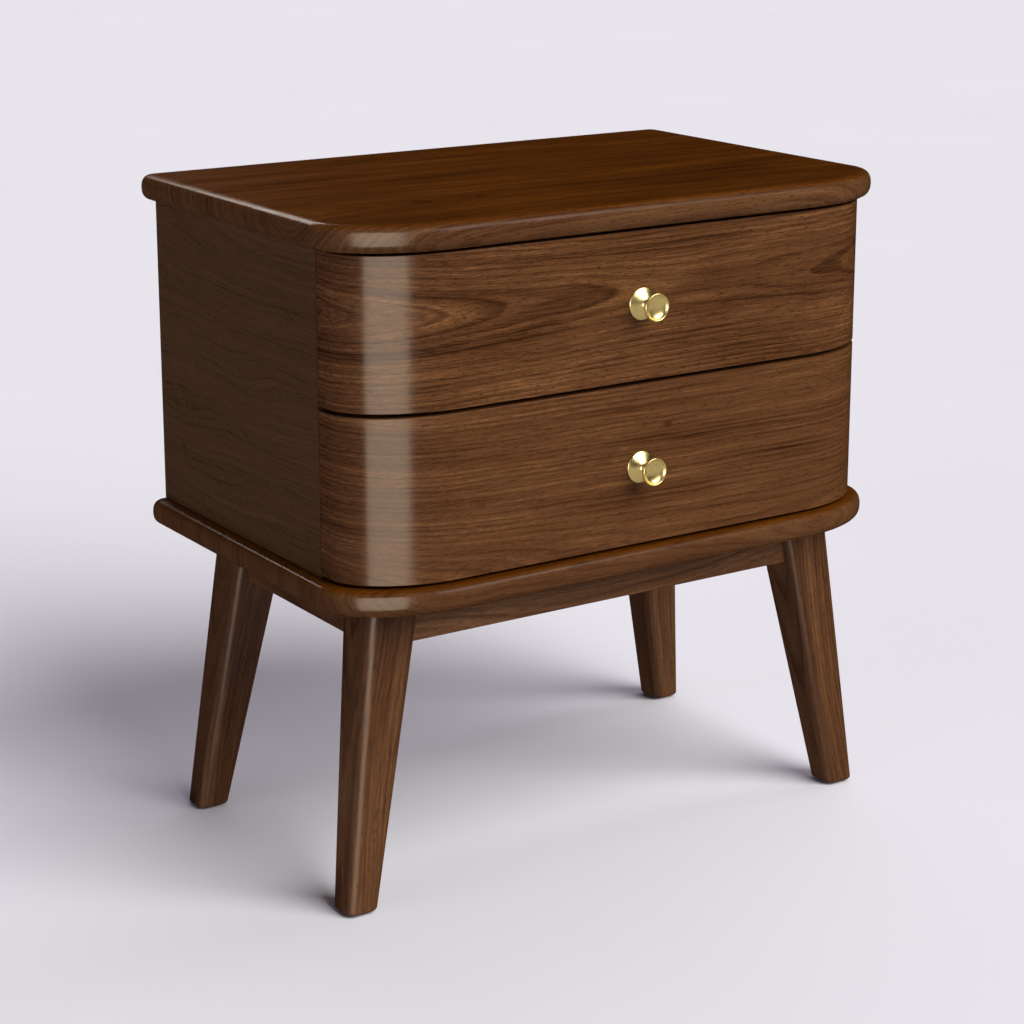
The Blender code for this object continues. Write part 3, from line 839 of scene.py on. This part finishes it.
class NIGHTSTAND_OT_boards(bpy.types.Operator):
    """Top and bottom board, with front corners rounded in plan and a half-round edge"""

    bl_idname = "nightstand.boards"
    bl_label = "Boards"

    def execute(self, context):
        sizes = context.scene.nightstand_sizes
        for name in ("top_board", "bottom_board"):
            low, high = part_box(name)
            thick = high.z - low.z
            board = block(name + "_finished", low, high)
            square_up_corner(board, sizes.board_corner_across, sizes.board_corner_deep, low.y, 28)
            pick(board, "EDGE", lambda c: upright(c) and near(c, 1, high.y))
            bevel(sizes.board_rear_radius, 10)
            pick(board, "EDGE", lambda c: near(c, 2, low.z) or near(c, 2, high.z))
            bevel(thick / 2 - 0.00005, 9, profile=0.58)
            mark_grain(board, lambda p: Vector((p.x, p.y, high.z - p.z)))
            material = walnut(name + "_lacquered_walnut", CUTS[name])
            finished(board, "cabinet", "walnut", material, name)
        return {"FINISHED"}


def arc_length(across, deep, turn):
    """Length of a quarter ellipse from its flat end to an angle, in 24 short steps."""
    length = 0.0
    last = Vector((0.0, -deep))
    for step in range(1, 25):
        here = Vector((across * math.sin(turn * step / 24), -deep * math.cos(turn * step / 24)))
        length += (here - last).length
        last = here
    return length


def along_front(point, sizes):
    """Place on a bent front: along its outer curve, height, and distance behind the curve."""
    across = sizes.front_corner_across
    deep = sizes.front_corner_deep
    side = -1 if point.x < 0 else 1
    flat = BODY_HALF - across
    x = point.x * side - flat
    y = point.y - FRONT_Y - deep
    if x <= 0:
        return Vector((point.x, point.z, point.y - FRONT_Y))
    if y >= 0:
        along = flat + arc_length(across, deep, math.pi / 2) + y
        return Vector((side * along, point.z, BODY_HALF - abs(point.x)))
    turn = math.atan2(x / across, -y / deep)
    behind = Vector((across * math.sin(turn) - x, -deep * math.cos(turn) - y)).length
    return Vector((side * (flat + arc_length(across, deep, turn)), point.z, behind))


class NIGHTSTAND_OT_drawer_fronts(bpy.types.Operator):
    """Two drawer fronts, each bent round both corners from one panel"""

    bl_idname = "nightstand.drawer_fronts"
    bl_label = "Drawer fronts"

    def execute(self, context):
        sizes = context.scene.nightstand_sizes
        for level in LEVELS:
            name = level + "_drawer_front"
            low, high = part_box(name)
            front = block(name + "_finished", low, high)
            square_up_corner(front, sizes.front_corner_across, sizes.front_corner_deep, low.y, 32)
            pick(
                front,
                "FACE",
                lambda c: near(c, 2, low.z) or near(c, 2, high.z) or near(c, 1, high.y),
            )
            bpy.ops.mesh.delete(type="FACE")
            apply_modifier(front, "SOLIDIFY", thickness=sizes.front_thickness, offset=-1.0, use_even_offset=True)
            apply_modifier(
                front,
                "BEVEL",
                width=sizes.eased_edge,
                segments=3,
                limit_method="ANGLE",
                angle_limit=math.radians(50),
            )
            knob_low, knob_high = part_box(level + "_drawer_knob")
            height = (knob_low.z + knob_high.z) / 2
            drill(front, (0, FRONT_Y - 0.01, height), (0, 1, 0), 0.0023, 0.04)
            mark_grain(front, lambda point: along_front(point, sizes))
            material = walnut(name + "_lacquered_walnut", CUTS[name])
            finished(front, level + "_drawer", "walnut", material, name)
        return {"FINISHED"}


class NIGHTSTAND_OT_side_panels(bpy.types.Operator):
    """Side panels with eased edges"""

    bl_idname = "nightstand.side_panels"
    bl_label = "Side panels"

    def execute(self, context):
        sizes = context.scene.nightstand_sizes
        for side_name, side in SIDES:
            name = "side_panel_" + side_name
            low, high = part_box(name)
            panel = block(name + "_finished", low, high)
            pick(panel, "EDGE", lambda c: True)
            bevel(sizes.eased_edge * 0.6, 2)
            mark_grain(panel, lambda p: Vector((p.y, p.z, BODY_HALF - abs(p.x))))
            material = walnut(name + "_lacquered_walnut", CUTS[name])
            finished(panel, "cabinet", "walnut", material, name)
        return {"FINISHED"}


class NIGHTSTAND_OT_legs(bpy.types.Operator):
    """Four splayed legs, tapered, with rounded edges and softened feet"""

    bl_idname = "nightstand.legs"
    bl_label = "Legs"

    def execute(self, context):
        sizes = context.scene.nightstand_sizes
        for index, (corner, side, end) in enumerate(CORNERS):
            name = "leg_" + corner
            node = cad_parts[name]
            low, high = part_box(name)
            points = [point.co for point in node.data.vertices]
            head = [point for point in points if point.z > high.z - 0.0005]
            foot = [point for point in points if point.z < low.z + 0.0005]
            spans = []
            for ends in (head, foot):
                first = Vector((min(p.x for p in ends), min(p.y for p in ends)))
                last = Vector((max(p.x for p in ends), max(p.y for p in ends)))
                spans.append((first, last))
            head_span, foot_span = spans
            leg = block(
                name + "_finished",
                (head_span[0].x, head_span[0].y, low.z),
                (head_span[1].x, head_span[1].y, high.z),
            )
            # Draw the lower end in and out to the foot
            pick(leg, "FACE", lambda c: near(c, 2, low.z))
            head_middle = (head_span[0] + head_span[1]) / 2
            foot_middle = (foot_span[0] + foot_span[1]) / 2
            scale = (foot_span[1].x - foot_span[0].x) / (head_span[1].x - head_span[0].x)
            bpy.ops.transform.resize(value=(scale, scale, 1), center_override=(*head_middle, low.z))
            bpy.ops.transform.translate(value=(*(foot_middle - head_middle), 0))
            pick(leg, "EDGE", lambda c: abs(c[0].z - c[1].z) > 0.1)
            bevel(sizes.leg_edge_radius, 8)
            pick(leg, "EDGE", lambda c: near(c, 2, low.z))
            bevel(0.0025, 4)
            bolt_low, bolt_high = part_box("hanger_bolt_" + corner)
            bolt = (bolt_low + bolt_high) / 2
            inward = Vector((-side, -end, 0)).normalized()
            start = bolt - inward * 0.06
            # The hole is blind: it stops 28 mm inside the leg
            tip = Vector(
                (
                    bolt_low.x if side < 0 else bolt_high.x,
                    bolt_low.y if end < 0 else bolt_high.y,
                    bolt.z,
                )
            )
            drill(leg, tip + inward * 0.0015, inward, 0.0033, 0.06)
            axis = Vector((*(head_middle - foot_middle), high.z - low.z)).normalized()
            cross = Vector((1, 0, 0)).cross(axis).normalized()
            other = axis.cross(cross)
            base = Vector((*foot_middle, low.z))
            mark_grain(
                leg,
                lambda p: Vector(((p - base).dot(axis), (p - base).dot(cross), (p - base).dot(other))),
            )
            cut = {
                "shift": (7.0 + index, 0.02, 0.03),
                "middle": 0.12,
                "heart": 0.02,
                "depth": 0.03,
                "contrast": 0.8,
                "sway": 0.012,
                "gloss": context.scene.nightstand_finishes.leg_roughness,
            }
            material = walnut(name + "_lacquered_walnut", cut)
            finished(leg, "cabinet", "walnut", material, name)
        return {"FINISHED"}


class NIGHTSTAND_OT_aprons(bpy.types.Operator):
    """Four aprons between the legs, their ends cut to the lean of the legs"""

    bl_idname = "nightstand.aprons"
    bl_label = "Aprons"

    def execute(self, context):
        sizes = context.scene.nightstand_sizes
        for index, side_name in enumerate(("front", "rear", "left", "right")):
            name = "apron_" + side_name
            low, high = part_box(name)
            lengthwise = 0 if index < 2 else 1
            points = [point.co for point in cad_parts[name].data.vertices]
            apron = block(name + "_finished", low, high)
            # Ends follow the legs: find each end at the top and at the bottom
            for height in (low.z, high.z):
                level = [p[lengthwise] for p in points if abs(p.z - height) < 0.0005]
                for old, new in ((low[lengthwise], min(level)), (high[lengthwise], max(level))):
                    pick(
                        apron,
                        "VERT",
                        lambda c: near(c, 2, height) and near(c, lengthwise, old),
                    )
                    shift = Vector((0, 0, 0))
                    shift[lengthwise] = new - old
                    bpy.ops.transform.translate(value=shift)
            pick(apron, "EDGE", lambda c: near(c, 2, low.z))
            bevel(sizes.eased_edge * 1.6, 3)
            mark_grain(apron, lambda p: Vector((p[lengthwise], p.z, abs(p[1 - lengthwise]))))
            cut = {
                "shift": (12.0 + index, 0.0, 0.0),
                "heart": 0.20,
                "depth": -0.05,
                "contrast": 0.8,
                # tone 0.62 makes the aprons lighter than the rest of the walnut: painted light on the aprons, which sit
                # in the shade of the bottom board
                "tone": 0.62,
                "gloss": context.scene.nightstand_finishes.leg_roughness,
            }
            material = walnut(name + "_lacquered_walnut", cut)
            finished(apron, "cabinet", "walnut", material, name)
        return {"FINISHED"}


class NIGHTSTAND_OT_knobs(bpy.types.Operator):
    """Two turned brass knobs with a conical base and a dished head"""

    bl_idname = "nightstand.knobs"
    bl_label = "Knobs"

    def execute(self, context):
        # Half section: radius and distance in front of the drawer
        bore = [(0.0023, 0.0126), (0.0023, 0.0003)]
        base = [(0.0146, 0.0003), (0.0150, 0.0006), (0.01505, 0.0011), (0.0148, 0.0016)]
        cone = [(0.0125, 0.0030), (0.0100, 0.0045), (0.0076, 0.0060), (0.0057, 0.0073)]
        neck = [(0.0048, 0.0083), (0.0044, 0.0098), (0.0044, 0.0124), (0.0051, 0.0138)]
        bell = [(0.0070, 0.0154), (0.0094, 0.0172), (0.0115, 0.0188), (0.0125, 0.0199)]
        rim = [(0.01295, 0.0211), (0.0130, 0.0220), (0.0127, 0.0228), (0.0121, 0.0230), (0.0115, 0.0226)]
        dish = [(0.0110, 0.0215), (0.0100, 0.0205), (0.0080, 0.0196), (0.0052, 0.0190), (0.0024, 0.0188)]
        rings = bore + base + cone + neck + bell + rim + dish
        finishes = context.scene.nightstand_finishes
        brass = metal("satin_brass", finishes.brass, finishes.brass_roughness)
        for level in LEVELS:
            name = level + "_drawer_knob"
            low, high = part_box(name)
            middle = (low + high) / 2
            knob = turned(name + "_finished", (0, FRONT_Y, middle.z), (0, -1, 0), rings, 64)
            apply_modifier(knob, "SUBSURF", levels=1, render_levels=1)
            finished(knob, level + "_drawer", "brass", brass, name, angle=60)
        return {"FINISHED"}


class NIGHTSTAND_OT_inner_wood(bpy.types.Operator):
    """Birch rails, back, corner blocks, battens and drawer boxes, their sawn edges eased by sanding"""

    bl_idname = "nightstand.inner_wood"
    bl_label = "Inner wood"

    def execute(self, context):
        sizes = context.scene.nightstand_sizes
        sideways = birch("sealed_birch")
        front_to_back = birch("sealed_birch_front_to_back", (0, 0, math.radians(90)))
        fixed = ["top_front_rail", "top_rear_rail", "middle_rail", "back_panel"]
        fixed += ["corner_block_" + corner for corner, side, end in CORNERS]
        for name in fixed:
            piece = eased_copy(name, sizes.sanded_edge)
            finished(piece, "cabinet", "birch", sideways, name)
        for level in LEVELS:
            for part in ("batten", "box_front", "box_back", "box_bottom", "box_left", "box_right"):
                name = level + "_drawer_" + part
                piece = eased_copy(name, sizes.sanded_edge)
                chosen = front_to_back if part in ("box_left", "box_right") else sideways
                finished(piece, level + "_drawer", "birch", chosen, name)
        return {"FINISHED"}


class NIGHTSTAND_OT_slides(bpy.types.Operator):
    """Ball-bearing slides of folded, zinc-plated sheet steel"""

    bl_idname = "nightstand.slides"
    bl_label = "Slides"

    def execute(self, context):
        finishes = context.scene.nightstand_finishes
        zinc = metal("bright_zinc_plated_steel", finishes.zinc, 0.42)
        for level in LEVELS:
            bodies = {"cabinet": "cabinet", "middle": level + "_slide_middle", "drawer": level + "_drawer"}
            for member, body in bodies.items():
                for side_name, side in SIDES:
                    name = level + "_slide_" + member + "_" + side_name
                    piece = eased_copy(name, 0.0003)
                    finished(piece, body, "steel", zinc, name)
        return {"FINISHED"}


class NIGHTSTAND_OT_fixings(bpy.types.Operator):
    """Hanger bolts with their nuts, knob screws and the glides under the feet"""

    bl_idname = "nightstand.fixings"
    bl_label = "Fixings"

    def execute(self, context):
        finishes = context.scene.nightstand_finishes
        zinc = metal("dull_zinc_plated_steel", finishes.zinc, 0.4)
        black = nylon("black_nylon")
        for corner, side, end in CORNERS:
            name = "hanger_bolt_" + corner
            finished(eased_copy(name, 0.0002), "cabinet", "steel", zinc, name)
            name = "foot_glide_" + corner
            finished(eased_copy(name, 0.0006), "cabinet", "nylon", black, name)
        for level in LEVELS:
            name = level + "_drawer_knob_screw"
            finished(eased_copy(name, 0.0002), level + "_drawer", "steel", zinc, name)
        return {"FINISHED"}


STEPS = (
    NIGHTSTAND_OT_stage,
    NIGHTSTAND_OT_boards,
    NIGHTSTAND_OT_drawer_fronts,
    NIGHTSTAND_OT_side_panels,
    NIGHTSTAND_OT_legs,
    NIGHTSTAND_OT_aprons,
    NIGHTSTAND_OT_knobs,
    NIGHTSTAND_OT_inner_wood,
    NIGHTSTAND_OT_slides,
    NIGHTSTAND_OT_fixings,
)


class NIGHTSTAND_PT_steps(bpy.types.Panel):
    """The steps, in the order in which the nightstand is built"""

    bl_idname = "NIGHTSTAND_PT_steps"
    bl_label = "Nightstand"
    bl_space_type = "VIEW_3D"
    bl_region_type = "UI"
    bl_category = "Nightstand"

    def draw(self, context):
        column = self.layout.column()
        for step in STEPS:
            column.operator(step.bl_idname)


CLASSES = (NightstandSizes, NightstandFinishes, *STEPS, NIGHTSTAND_PT_steps)


def register():
    """Make the settings, operators and panel known to Blender."""
    for made in CLASSES:
        bpy.utils.register_class(made)
    bpy.types.Scene.nightstand_sizes = bpy.props.PointerProperty(type=NightstandSizes)
    bpy.types.Scene.nightstand_finishes = bpy.props.PointerProperty(type=NightstandFinishes)


def unregister():
    """Take them out again."""
    del bpy.types.Scene.nightstand_finishes
    del bpy.types.Scene.nightstand_sizes
    for made in reversed(CLASSES):
        bpy.utils.unregister_class(made)


def main():
    """Build the whole nightstand."""
    register()
    bpy.ops.nightstand.stage()
    bpy.ops.nightstand.boards()
    bpy.ops.nightstand.drawer_fronts()
    bpy.ops.nightstand.side_panels()
    bpy.ops.nightstand.legs()
    bpy.ops.nightstand.aprons()
    bpy.ops.nightstand.knobs()
    bpy.ops.nightstand.inner_wood()
    bpy.ops.nightstand.slides()
    bpy.ops.nightstand.fixings()


if __name__ == "__main__":
    main()
